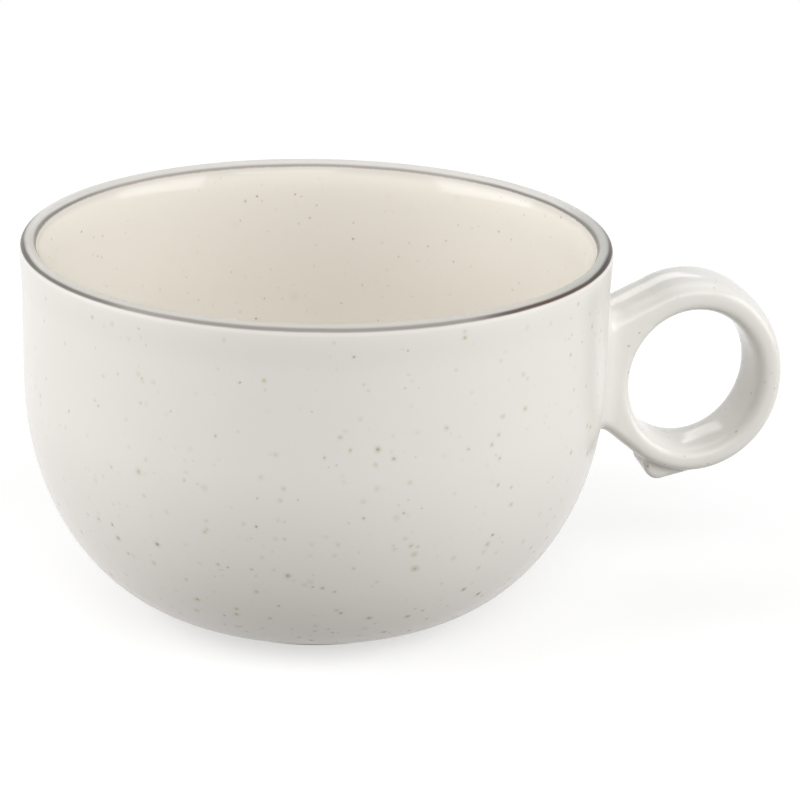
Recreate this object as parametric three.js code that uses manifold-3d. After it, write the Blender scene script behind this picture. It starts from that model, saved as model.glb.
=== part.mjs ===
// A stoneware coffee cup with a ring handle, built up in the order a potter makes it:
// the clay cup, the clay handle, the slip that lutes the two together, the glazes and the lip band.
// Millimetres, +Z up, standing on z = 0, with the handle towards +X.
// The origin lies under the middle of the cup's overall box.

import * as THREE from 'three';
import { mergeVertices } from 'three/addons/utils/BufferGeometryUtils.js';
import Module from 'manifold-3d';

// Cup, measured over the fired glaze
const CUP_HEIGHT = 69;
const WALL_RADIUS = 52.8;
const WALL_THICKNESS = 3.2;
const STRAIGHT_DEPTH = 25.7; // from the lip down to where the belly starts to draw in
const FLOOR_THICKNESS = 4.6;
const FLOOR_RADIUS = 20; // flat middle of the floor inside

// Lip: a half-round edge over a soft bead
const BEAD_STANDOUT = 0.3; // bead over the straight wall
const BEAD_DROP = 2.4; // from the crest of the lip down to the middle of the bead
const BEAD_FADE = 3.1; // height in which the bead runs out into the wall
const CREST_RATIO = 0.6; // how far across the wall, from outside, the crest lies
const BAND_WRAP = 65; // degrees of lip that the dark band covers on each side of the crest

// Foot
const FOOT_RADIUS = 26;
const FOOT_WIDTH = 3;
const FOOT_EDGE = 0.4; // worn edges of the foot ring
const FOOT_LAP = 3.8; // how far the belly curve runs in under the cup before it is level
const BELLY_CLEARANCE = 0.85; // level end of the belly curve above the table
const BARE_STRIP = 1; // clay wiped clean of glaze around the foot ring
const RECESS_DEPTH = 2; // hollow inside the foot ring

// Handle, measured over the fired glaze
const HOLE_WIDTH = 23.8;
const HOLE_HEIGHT = 26;
const HOLE_TO_WALL = 5; // clay between the finger hole and the wall
const HOLE_DROP = 28.7; // from the lip down to the middle of the finger hole
const STRAP_THICKNESS = 5.85;
const STRAP_WIDTH = 14.8;
const STRAP_SQUARENESS = 2.6; // 2 would be an oval section, more is squarer
const NECK_TOP = 12.9; // neck on the wall, above the middle of the hole
const NECK_BOTTOM = 9.8; // neck on the wall, below the middle of the hole
const NECK_ROOT = 4; // how far the neck's outline runs on into the wall before it is cut
const NECK_EDGE = 2.6; // rounding of the neck's edges
const NECK_TOP_MEETS = 106; // degrees round the ring, from straight out, where the neck leaves it
const NECK_BOTTOM_MEETS = 230;
const TAIL_ANGLE = 248; // degrees round the ring where the strap's tail ends in a round nose
const TAIL_RUNOUT = 26; // degrees further round in which the tail runs out into the strap
const TAIL_STANDOUT = 1.7; // nose over the ring
const TAIL_NOSE = 2.7; // rounding of the nose, seen from the side
const TAIL_WIDTH = 11.4;
const TAIL_EDGE = 1;

// Layers
const GLAZE = 0.45;
const SLIP = 0.6;
const FIT = 0.15; // air between neighbouring layers

// Fineness of the round surfaces
const TURN_STEPS = 48;
const BELLY_STEPS = 9;
const LIP_STEPS = 3;
const RING_STEPS = 36;
const STRAP_STEPS = 16;
const EDGE_STEPS = 2;
const TAIL_STEPS = 3;

// Sizes that follow from those above
const CLAY_INSET = GLAZE + FIT;
const BELLY_TOP = CUP_HEIGHT - STRAIGHT_DEPTH;
const BELLY_DEPTH = BELLY_TOP - BELLY_CLEARANCE;
const BELLY_FLAT_RADIUS = FOOT_RADIUS - FOOT_LAP;
const BELLY_REACH = WALL_RADIUS - BELLY_FLAT_RADIUS;
const INNER_RADIUS = WALL_RADIUS - WALL_THICKNESS;
const FLOOR_HEIGHT = RECESS_DEPTH + FLOOR_THICKNESS;
const BEAD_HEIGHT = CUP_HEIGHT - BEAD_DROP;
const BEAD_RADIUS = WALL_RADIUS + BEAD_STANDOUT;
const CREST_RADIUS = WALL_RADIUS - CREST_RATIO * WALL_THICKNESS;
const FOOT_BORE = FOOT_RADIUS - FOOT_WIDTH;
const HOLE_CENTRE_RADIUS = WALL_RADIUS + HOLE_TO_WALL + HOLE_WIDTH / 2;
const HOLE_CENTRE_HEIGHT = CUP_HEIGHT - HOLE_DROP;
const HANDLE_REACH = HOLE_CENTRE_RADIUS + HOLE_WIDTH / 2 + STRAP_THICKNESS;
const CUP_AXIS_X = (BEAD_RADIUS - HANDLE_REACH) / 2;

const UP = 90;
const LEVEL_OUT = 0;
const LEVEL_IN = 180;
const DOWN = -90;
const BAND_GAP = THREE.MathUtils.radToDeg(FIT / BEAD_DROP);

const wasm = await Module();
wasm.setup();

/** Points of an elliptic arc; angles in degrees from level and outwards, turning up. */
function arc(centreX, centreY, radiusX, radiusY, from, to, steps) {
  const points = [];
  for (let step = 0; step <= steps; step += 1) {
    const angle = THREE.MathUtils.degToRad(THREE.MathUtils.lerp(from, to, step / steps));
    const x = centreX + radiusX * Math.cos(angle);
    const y = centreY + radiusY * Math.sin(angle);
    points.push(new THREE.Vector2(x, y));
  }
  return points;
}

/** A point of a turned profile. */
function at(radius, height) {
  return new THREE.Vector2(radius, height);
}

/** A closed body turned around the cup's upright axis. */
function turned(profile) {
  const geometry = new THREE.LatheGeometry(profile, TURN_STEPS);
  geometry.rotateX(Math.PI / 2);
  return geometry;
}

/** Arc over the outer half of the lip, set in from the glazed surface. */
function lipOutside(inset, from, to) {
  const radial = BEAD_RADIUS - CREST_RADIUS - inset;
  return arc(CREST_RADIUS, BEAD_HEIGHT, radial, BEAD_DROP - inset, from, to, LIP_STEPS);
}

/** Arc over the inner half of the lip, set in from the glazed surface. */
function lipInside(inset, from, to) {
  const radial = CREST_RADIUS - INNER_RADIUS - inset;
  return arc(CREST_RADIUS, BEAD_HEIGHT, radial, BEAD_DROP - inset, from, to, LIP_STEPS);
}

/** Outside of the cup from a given radius under the belly up to the bead, set in from the glaze. */
function outside(inset, startRadius) {
  const reach = BELLY_REACH - inset;
  const start = -THREE.MathUtils.radToDeg(Math.acos((startRadius - BELLY_FLAT_RADIUS) / reach));
  return [
    ...arc(BELLY_FLAT_RADIUS, BELLY_TOP, reach, BELLY_DEPTH - inset, start, LEVEL_OUT, BELLY_STEPS),
    at(WALL_RADIUS - inset, BEAD_HEIGHT - BEAD_FADE),
  ];
}

/** Inside of the cup from below the lip down to the middle of the floor, set in from the glaze. */
function inside(inset) {
  const reach = INNER_RADIUS - FLOOR_RADIUS + inset;
  const depth = BELLY_TOP - FLOOR_HEIGHT + inset;
  return [
    ...arc(FLOOR_RADIUS, BELLY_TOP, reach, depth, LEVEL_OUT, DOWN, BELLY_STEPS),
    at(0, FLOOR_HEIGHT - inset),
  ];
}

/** The thrown clay cup: foot ring, floor, wall and lip. */
function cupBody() {
  const baseHeight = RECESS_DEPTH + CLAY_INSET;
  return turned([
    at(0, baseHeight),
    at(FOOT_BORE, baseHeight),
    at(FOOT_BORE, FOOT_EDGE),
    at(FOOT_BORE + FOOT_EDGE, 0),
    at(FOOT_RADIUS - FOOT_EDGE, 0),
    at(FOOT_RADIUS, FOOT_EDGE),
    ...outside(CLAY_INSET, FOOT_RADIUS),
    ...lipOutside(CLAY_INSET, LEVEL_OUT, UP),
    ...lipInside(CLAY_INSET, UP, LEVEL_IN).slice(1),
    ...inside(CLAY_INSET),
  ]);
}

/** The pale glaze on the outside, from the lip band down to the bare strip around the foot. */
function outerGlaze() {
  const glazeLine = FOOT_RADIUS + BARE_STRIP;
  const bandEdge = UP - BAND_WRAP - BAND_GAP;
  const face = [...outside(0, glazeLine), ...lipOutside(0, LEVEL_OUT, bandEdge)];
  const back = [...outside(GLAZE, glazeLine), ...lipOutside(GLAZE, LEVEL_OUT, bandEdge)];
  return turned([...face, ...back.reverse(), face[0]]);
}

/** The cream glaze that lines the inside. */
function linerGlaze() {
  const bandEdge = UP + BAND_WRAP + BAND_GAP;
  const face = [...lipInside(0, bandEdge, LEVEL_IN), ...inside(0)];
  const back = [...lipInside(GLAZE, bandEdge, LEVEL_IN), ...inside(GLAZE)];
  return turned([...back.reverse(), ...face]);
}

/** The dark oxide band over the lip. */
function rimBand() {
  const over = (inset) => [
    ...lipOutside(inset, UP - BAND_WRAP, UP),
    ...lipInside(inset, UP, UP + BAND_WRAP).slice(1),
  ];
  const face = over(0);
  return turned([...face, ...over(GLAZE).reverse(), face[0]]);
}

/** The glaze on the base, inside the foot ring. */
function baseGlaze() {
  const edge = FOOT_BORE - FIT;
  return turned([
    at(0, RECESS_DEPTH),
    at(edge, RECESS_DEPTH),
    at(edge, RECESS_DEPTH + GLAZE),
    at(0, RECESS_DEPTH + GLAZE),
  ]);
}

/** Everything within the outside of the cup, set in by a distance, down past the belly's level end. */
function withinWall(inset) {
  return solid(turned([
    at(0, BELLY_CLEARANCE + inset),
    ...outside(inset, BELLY_FLAT_RADIUS),
    at(WALL_RADIUS - inset, CUP_HEIGHT),
    at(0, CUP_HEIGHT),
  ]));
}

/** Section of the strap, across the ring; the first number of a point is the distance from its axis. */
function strapSection(middle, grow) {
  const section = [];
  const power = 2 / STRAP_SQUARENESS;
  for (let step = 0; step <= STRAP_STEPS; step += 1) {
    const angle = (step % STRAP_STEPS) * 2 * Math.PI / STRAP_STEPS;
    const thick = Math.sign(Math.cos(angle)) * Math.abs(Math.cos(angle)) ** power;
    const wide = Math.sign(Math.sin(angle)) * Math.abs(Math.sin(angle)) ** power;
    section.push(at(middle + (STRAP_THICKNESS / 2 + grow) * thick, (STRAP_WIDTH / 2 + grow) * wide));
  }
  return section;
}

/** The strap bent into an oval ring around the finger hole. */
function strapRing(grow) {
  const holeRadius = (HOLE_WIDTH + HOLE_HEIGHT) / 4;
  const middle = holeRadius + STRAP_THICKNESS / 2;
  const ring = new THREE.LatheGeometry(strapSection(middle, grow), RING_STEPS);
  const stretchX = (HOLE_WIDTH / 2 + STRAP_THICKNESS / 2) / middle;
  const stretchZ = (HOLE_HEIGHT / 2 + STRAP_THICKNESS / 2) / middle;
  ring.scale(stretchX, 1, stretchZ);
  ring.translate(HOLE_CENTRE_RADIUS, 0, HOLE_CENTRE_HEIGHT);
  return solid(ring);
}

/** Point a distance out from the edge of the finger hole, at an angle in degrees round it. */
function aroundHole(distance, degrees) {
  const angle = THREE.MathUtils.degToRad(degrees);
  const across = (HOLE_WIDTH / 2 + distance) * Math.cos(angle);
  const upright = (HOLE_HEIGHT / 2 + distance) * Math.sin(angle);
  return at(HOLE_CENTRE_RADIUS + across, HOLE_CENTRE_HEIGHT + upright);
}

/** An outline in the handle's plane given a width across the strap and rounded edges. */
function padded(outline, width, edge, grow) {
  const depth = width + 2 * (grow - edge);
  const geometry = new THREE.ExtrudeGeometry(new THREE.Shape(outline), {
    depth,
    bevelThickness: edge,
    bevelSize: edge,
    bevelOffset: grow - edge,
    bevelSegments: EDGE_STEPS,
  });
  geometry.rotateX(Math.PI / 2);
  geometry.translate(0, depth / 2, 0);
  return solid(geometry);
}

/** The neck that fills the corners between ring and wall; it runs on to the middle of the hole. */
function neck(grow) {
  const root = WALL_RADIUS - NECK_ROOT;
  const low = HOLE_CENTRE_HEIGHT - NECK_BOTTOM;
  const high = HOLE_CENTRE_HEIGHT + NECK_TOP;
  return padded([
    at(root, low),
    at(WALL_RADIUS, low),
    aroundHole(STRAP_THICKNESS, NECK_BOTTOM_MEETS),
    at(HOLE_CENTRE_RADIUS, HOLE_CENTRE_HEIGHT),
    aroundHole(STRAP_THICKNESS, NECK_TOP_MEETS),
    at(WALL_RADIUS, high),
    at(root, high),
  ], STRAP_WIDTH, NECK_EDGE, grow);
}

/** The tail of the strap: a round nose under the ring, which runs on up to the middle of the hole. */
function tail(grow) {
  const nose = aroundHole(STRAP_THICKNESS + TAIL_STANDOUT - TAIL_NOSE, TAIL_ANGLE);
  const runout = aroundHole(STRAP_THICKNESS, TAIL_ANGLE + TAIL_RUNOUT);
  return padded([
    at(nose.x - TAIL_NOSE, HOLE_CENTRE_HEIGHT),
    ...arc(nose.x, nose.y, TAIL_NOSE, TAIL_NOSE, LEVEL_IN, TAIL_ANGLE, TAIL_STEPS),
    runout,
    at(runout.x, HOLE_CENTRE_HEIGHT),
  ], TAIL_WIDTH, TAIL_EDGE, grow);
}

/** A plug through the finger hole, as far out as the middle of the strap. */
function holePlug() {
  const plug = new THREE.CylinderGeometry(1, 1, 2 * STRAP_WIDTH, RING_STEPS);
  const toMiddle = STRAP_THICKNESS / 2;
  plug.scale(HOLE_WIDTH / 2 + toMiddle, 1, HOLE_HEIGHT / 2 + toMiddle);
  plug.translate(HOLE_CENTRE_RADIUS, 0, HOLE_CENTRE_HEIGHT);
  return solid(plug);
}

/** The whole handle, grown or shrunk from its glazed surface. */
function handleShape(grow) {
  const corners = neck(grow).add(tail(grow)).subtract(holePlug());
  return strapRing(grow).add(corners);
}

/** A closed geometry as a solid that can be joined and cut. */
function solid(geometry) {
  geometry.deleteAttribute('normal');
  geometry.deleteAttribute('uv');
  const merged = mergeVertices(geometry);
  const corners = merged.index.array;
  const triangles = [];
  for (let first = 0; first < corners.length; first += 3) {
    const [a, b, c] = corners.slice(first, first + 3);
    if (a !== b && b !== c && c !== a) {
      triangles.push(a, b, c);
    }
  }
  const vertProperties = new Float32Array(merged.attributes.position.array);
  const triVerts = new Uint32Array(triangles);
  return new wasm.Manifold(new wasm.Mesh({ numProp: 3, vertProperties, triVerts }));
}

/** A solid back as a geometry. */
function geometryOf(shape) {
  const mesh = shape.getMesh();
  const geometry = new THREE.BufferGeometry();
  geometry.setAttribute('position', new THREE.BufferAttribute(mesh.vertProperties, mesh.numProp));
  geometry.setIndex(new THREE.BufferAttribute(mesh.triVerts, 1));
  geometry.computeVertexNormals();
  return geometry;
}

/** A named piece with its own finish. */
function piece(name, geometry, color, roughness) {
  const material = new THREE.MeshStandardMaterial({ color, roughness, metalness: 0 });
  const mesh = new THREE.Mesh(geometry, material);
  mesh.name = name;
  return mesh;
}

// The slip fills the window in the outer glaze, from the clay wall outwards.
const slipBack = CLAY_INSET - FIT;
const slipFace = slipBack - SLIP;
const clayHandle = handleShape(-CLAY_INSET);
const clayHandleCut = clayHandle.subtract(withinWall(slipFace - FIT));
const slipPad = clayHandle.intersect(withinWall(slipFace)).subtract(withinWall(slipBack));
const handleCoat = handleShape(0).subtract(handleShape(-GLAZE)).subtract(withinWall(slipBack));
const outerCoat = solid(outerGlaze()).subtract(handleShape(FIT));

const cup = new THREE.Group();
cup.position.x = CUP_AXIS_X;
cup.add(
  piece('cup_body', cupBody(), 0xc8b698, 0.75),
  piece('outer_glaze', geometryOf(outerCoat), 0xe3e0da, 0.14),
  piece('liner_glaze', linerGlaze(), 0xe6dece, 0.16),
  piece('rim_band', rimBand(), 0x635850, 0.25),
  piece('base_glaze', baseGlaze(), 0xe0dcd4, 0.2),
  piece('handle', geometryOf(clayHandleCut), 0xc8b698, 0.75),
  piece('handle_glaze', geometryOf(handleCoat), 0xe8e6e1, 0.14),
  piece('handle_slip', geometryOf(slipPad), 0xb9a584, 0.8),
);

const coffeeCup = new THREE.Group();
coffeeCup.add(cup);

export default coffeeCup;
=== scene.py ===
"""The looks of a stoneware coffee cup with a ring handle, built around its packed construction.

Everything is in metres. The cup stands on z = 0, and its handle points along +X.
"""

import logging
import math
from collections.abc import Callable, Mapping, Sequence
from dataclasses import dataclass
from enum import Enum

import bmesh
import bpy
import numpy as np
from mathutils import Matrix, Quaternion, Vector


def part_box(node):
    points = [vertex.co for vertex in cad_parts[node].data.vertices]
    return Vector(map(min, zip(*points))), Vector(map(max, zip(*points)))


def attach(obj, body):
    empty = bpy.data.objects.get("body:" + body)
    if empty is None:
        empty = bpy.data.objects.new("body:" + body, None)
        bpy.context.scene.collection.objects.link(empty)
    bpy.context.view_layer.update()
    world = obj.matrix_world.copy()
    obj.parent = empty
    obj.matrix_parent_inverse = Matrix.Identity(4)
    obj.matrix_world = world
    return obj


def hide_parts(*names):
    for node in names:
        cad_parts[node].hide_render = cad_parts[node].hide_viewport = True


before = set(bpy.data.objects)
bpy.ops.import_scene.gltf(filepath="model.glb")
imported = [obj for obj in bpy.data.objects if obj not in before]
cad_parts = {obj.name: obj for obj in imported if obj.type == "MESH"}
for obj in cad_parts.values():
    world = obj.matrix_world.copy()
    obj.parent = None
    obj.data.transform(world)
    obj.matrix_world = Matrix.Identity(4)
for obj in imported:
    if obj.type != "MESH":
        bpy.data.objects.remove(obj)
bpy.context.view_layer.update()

LOG = logging.getLogger("coffee_cup")
BODY = "root"
MM = 0.001
LIP_HEIGHT = 69 * MM
SHARP_DEGREES = 40
NOISE_MIDDLE = 0.5
ELLIPSE_CORE = 0.05

Colour = tuple[float, float, float]
Point = tuple[float, float, float]
Span = tuple[float, float]
Field = Callable[[np.ndarray], np.ndarray]

WHITE: Colour = (1.0, 1.0, 1.0)


class Slot(Enum):
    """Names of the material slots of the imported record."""

    CLAY = "stoneware_clay"
    SPECKLED = "speckled_glaze"
    HANDLE = "handle_glaze"
    CREAM = "cream_glaze"
    LIP = "lip_oxide"


class Axis(Enum):
    """Parts of a position."""

    X = "X"
    Y = "Y"
    Z = "Z"


@dataclass(frozen=True)
class Signal:
    """A node's output on its way to other nodes, with arithmetic that adds Math nodes."""

    bench: "NodeBench"
    socket: bpy.types.NodeSocket | None

    def math(
        self, operation: str, first: "Signal | float", second: "Signal | float" = 0.0
    ) -> "Signal":
        """Work out one Math node.

        Args:
            operation: The Math node's operation.
            first: Left-hand value.
            second: Right-hand value.

        Returns:
            The node's result.
        """
        return self.bench.node("ShaderNodeMath", {"operation": operation}, {0: first, 1: second})

    def __add__(self, other: "Signal | float") -> "Signal":
        """Sum of two values."""
        return self.math("ADD", self, other)

    def __radd__(self, other: float) -> "Signal":
        """Sum with a number on the left."""
        return self.math("ADD", other, self)

    def __sub__(self, other: "Signal | float") -> "Signal":
        """Difference of two values."""
        return self.math("SUBTRACT", self, other)

    def __rsub__(self, other: float) -> "Signal":
        """Difference from a number on the left."""
        return self.math("SUBTRACT", other, self)

    def __mul__(self, other: "Signal | float") -> "Signal":
        """Product of two values."""
        return self.math("MULTIPLY", self, other)

    def __rmul__(self, other: float) -> "Signal":
        """Product with a number on the left."""
        return self.math("MULTIPLY", other, self)

    def __truediv__(self, other: "Signal | float") -> "Signal":
        """Quotient of two values."""
        return self.math("DIVIDE", self, other)

    def __rtruediv__(self, other: float) -> "Signal":
        """Quotient with a number on the left."""
        return self.math("DIVIDE", other, self)

    def __lt__(self, other: "Signal | float") -> "Signal":
        """One where this value is the lesser, and nought elsewhere."""
        return self.math("LESS_THAN", self, other)

    def larger(self, other: "Signal | float") -> "Signal":
        """The larger of two values."""
        return self.math("MAXIMUM", self, other)

    def length_with(self, other: "Signal") -> "Signal":
        """Length of the two legs of a right angle."""
        return self.math("SQRT", self * self + other * other)

    def drift(self, level: float, spread: float) -> "Signal":
        """A level that drifts either way with this noise, by a share of itself."""
        return level * (1 - spread + 2 * spread * self)

    def swing(self, reach: float) -> "Signal":
        """This noise, swinging around nought by a reach."""
        return (self - NOISE_MIDDLE) * (2 * reach)

    def out(self, name: str) -> "Signal":
        """Another output of the same node."""
        return Signal(self.bench, self.socket.node.outputs[name])


class NodeBench:
    """Lays out the nodes of one material or of the world."""

    def __init__(self, tree: bpy.types.NodeTree) -> None:
        """Start from an empty tree."""
        self.tree = tree
        tree.nodes.clear()

    def node(
        self,
        kind: str,
        settings: Mapping[str, object] | None = None,
        sockets: Mapping[str | int, object] | None = None,
        output: str | int = 0,
    ) -> Signal:
        """Add a node.

        Args:
            kind: The node's type.
            settings: Its properties, set first.
            sockets: Values or signals for its inputs.
            output: Which of its outputs to hand on.

        Returns:
            That output.
        """
        made = self.tree.nodes.new(kind)
        for name, value in (settings or {}).items():
            setattr(made, name, value)
        for name, value in (sockets or {}).items():
            self._feed(made.inputs[name], value)
        return Signal(self, made.outputs[output] if made.outputs else None)

    def _feed(self, socket: bpy.types.NodeSocket, value: object) -> None:
        """Link a signal to a socket, or set its own value.

        Args:
            socket: The input to feed.
            value: A signal, a number, a colour or a vector.
        """
        if isinstance(value, Signal):
            self.tree.links.new(value.socket, socket)
        elif socket.type == "RGBA":
            socket.default_value = (*value, 1.0)
        else:
            socket.default_value = value

    def position(self) -> Signal:
        """Where a point of the surface lies in the cup's own frame."""
        return self.node("ShaderNodeTexCoord", output="Object")

    def part(self, vector: Signal, axis: Axis) -> Signal:
        """One part of a vector."""
        return self.node("ShaderNodeSeparateXYZ", None, {0: vector}, axis.value)

    def noise(self, size: float, detail: float = 2.0, where: Signal | None = None) -> Signal:
        """Soft cloudy noise.

        Args:
            size: Width of the largest clouds.
            detail: How many finer layers are added.
            where: Position to read it at, the surface's own if left out.

        Returns:
            The noise, around a half.
        """
        sockets = {"Vector": where or self.position(), "Scale": 1 / size, "Detail": detail}
        return self.node("ShaderNodeTexNoise", None, sockets)

    def ease(self, value: Signal, start: float, stop: float) -> Signal:
        """Rise smoothly from nought at start to one at stop.

        Args:
            value: What is read.
            start: Where the rise begins; it may lie above stop, and then the rise is a fall.
            stop: Where it ends.

        Returns:
            A number from nought to one.
        """
        settings = {"interpolation_type": "SMOOTHSTEP"}
        return self.node("ShaderNodeMapRange", settings, {0: value, 1: start, 2: stop})

    def blend(
        self, share: Signal | float, first: Signal | Colour, second: Signal | Colour
    ) -> Signal:
        """Mix two colours.

        Args:
            share: How much of the second colour.
            first: The colour at nought.
            second: The colour at one.

        Returns:
            The mixed colour.
        """
        return self.node("ShaderNodeMix", {"data_type": "RGBA"}, {0: share, 6: first, 7: second}, 2)

    def bump(self, height: Signal, depth: float, strength: float) -> Signal:
        """A small relief for a shader's normal.

        Args:
            height: The relief, from nought to one.
            depth: How deep one is.
            strength: How much of it shows.

        Returns:
            The normal.
        """
        sockets = {"Strength": strength, "Distance": depth, "Height": height}
        return self.node("ShaderNodeBump", None, sockets)

    def surface(self, colour: Signal, roughness: Signal, normal: Signal, specular: float) -> None:
        """Finish a material with its shader.

        Args:
            colour: Colour all over the surface.
            roughness: How matt it is.
            normal: Its small relief.
            specular: How strongly it mirrors; a half is glass.
        """
        sockets = {
            "Base Color": colour,
            "Roughness": roughness,
            "Normal": normal,
            "Specular IOR Level": specular,
        }
        shader = self.node("ShaderNodeBsdfPrincipled", None, sockets)
        self.node("ShaderNodeOutputMaterial", None, {"Surface": shader})

    def seen(self) -> Signal:
        """One for rays from the camera, a glossy or a clear surface, and nought for soft light."""
        path = self.node("ShaderNodeLightPath", output="Is Camera Ray")
        return path.larger(path.out("Is Glossy Ray")).larger(path.out("Is Transmission Ray"))


def new_material(name: str) -> tuple[bpy.types.Material, NodeBench]:
    """Make an empty material.

    Args:
        name: The material's name.

    Returns:
        The material, and the bench for its nodes.
    """
    material = bpy.data.materials.new(name)
    material.use_nodes = True
    return material, NodeBench(material.node_tree)


@dataclass(frozen=True)
class Specks:
    """One family of iron specks that burn through a glaze."""

    spacing: float
    core: float
    halo: float
    core_colour: Colour
    halo_colour: Colour
    strength: float
    share_at_foot: float
    share_at_lip: float
    lip_height: float = LIP_HEIGHT
    raggedness: float = 0.5 * MM
    ragged_detail: float = 1.0
    core_flat: float = 0.25
    least_size: float = 0.5
    least_fired: float = 0.36

    def strew(self, bench: NodeBench, under: Signal) -> Signal:
        """Strew the specks over a colour.

        Args:
            bench: The finish's bench.
            under: Colour of the glaze.

        Returns:
            Colour of the glaze with its specks.
        """
        position = bench.position()
        ragged = bench.noise(2 * self.halo, self.ragged_detail).out("Color")
        scale = {"operation": "SCALE"}
        shift = bench.node("ShaderNodeVectorMath", scale, {0: ragged, "Scale": self.raggedness})
        moved = bench.node("ShaderNodeVectorMath", {"operation": "ADD"}, {0: position, 1: shift})
        grid = {"Vector": moved, "Scale": 1 / self.spacing}
        cells = bench.node("ShaderNodeTexVoronoi", None, grid)
        chance = cells.out("Color")
        size = self.least_size + (1 - self.least_size) * bench.part(chance, Axis.X)
        rise = bench.part(position, Axis.Z) / self.lip_height
        share = self.share_at_foot + (self.share_at_lip - self.share_at_foot) * rise
        present = bench.part(chance, Axis.Y) < share
        heat = bench.part(chance, Axis.Z)
        fired = present * self.strength * (self.least_fired + (1 - self.least_fired) * heat * heat)
        away = cells * (self.spacing / size)
        halo = bench.ease(away, self.halo, 0.0) * fired
        core = bench.ease(away, self.core, self.core_flat * self.core) * fired
        return bench.blend(core, bench.blend(halo, under, self.halo_colour), self.core_colour)


@dataclass(frozen=True)
class LipRunAndShade:
    """Oxide that ran from the lip into the glaze below it, then painted shade over the lamps'
    highlight there.
    """

    colour: Colour
    lip_height: float = LIP_HEIGHT
    reach: Span = (1.1 * MM, 2.8 * MM)

    def over(self, bench: NodeBench, under: Signal | Colour) -> Signal:
        """Lay the oxide run and its painted shade over a glaze.

        Args:
            bench: The finish's bench.
            under: Colour of the glaze.

        Returns:
            Colour of the glaze with the oxide run and the painted shade.
        """
        depth = self.lip_height - bench.part(bench.position(), Axis.Z)
        return bench.blend(bench.ease(depth, *self.reach), self.colour, under)


@dataclass(frozen=True)
class Glaze:
    """A fired glaze that lets the clay's iron through as specks."""

    name: str
    colour: Colour
    patch_colour: Colour
    specks: tuple[Specks, ...]
    run_and_shade: LipRunAndShade | None = None
    roughness: float = 0.1
    gloss_spread: float = 0.2
    gloss_detail: float = 3.0
    specular: float = 0.4
    patch_size: float = 24 * MM
    peel_size: float = 5 * MM
    peel_depth: float = 0.03 * MM
    peel_strength: float = 0.2

    def material(self) -> bpy.types.Material:
        """Make the glaze.

        Returns:
            Its material.
        """
        material, bench = new_material(self.name)
        colour = bench.blend(bench.noise(self.patch_size), self.colour, self.patch_colour)
        # Below the lip: the oxide run, then painted shade over the lamps' highlight.
        if self.run_and_shade:
            colour = self.run_and_shade.over(bench, colour)
        for family in self.specks:
            colour = family.strew(bench, colour)
        cloud = bench.noise(self.peel_size, self.gloss_detail)
        gloss = cloud.drift(self.roughness, self.gloss_spread)
        normal = bench.bump(bench.noise(self.peel_size), self.peel_depth, self.peel_strength)
        bench.surface(colour, gloss, normal, self.specular)
        return material


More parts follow.
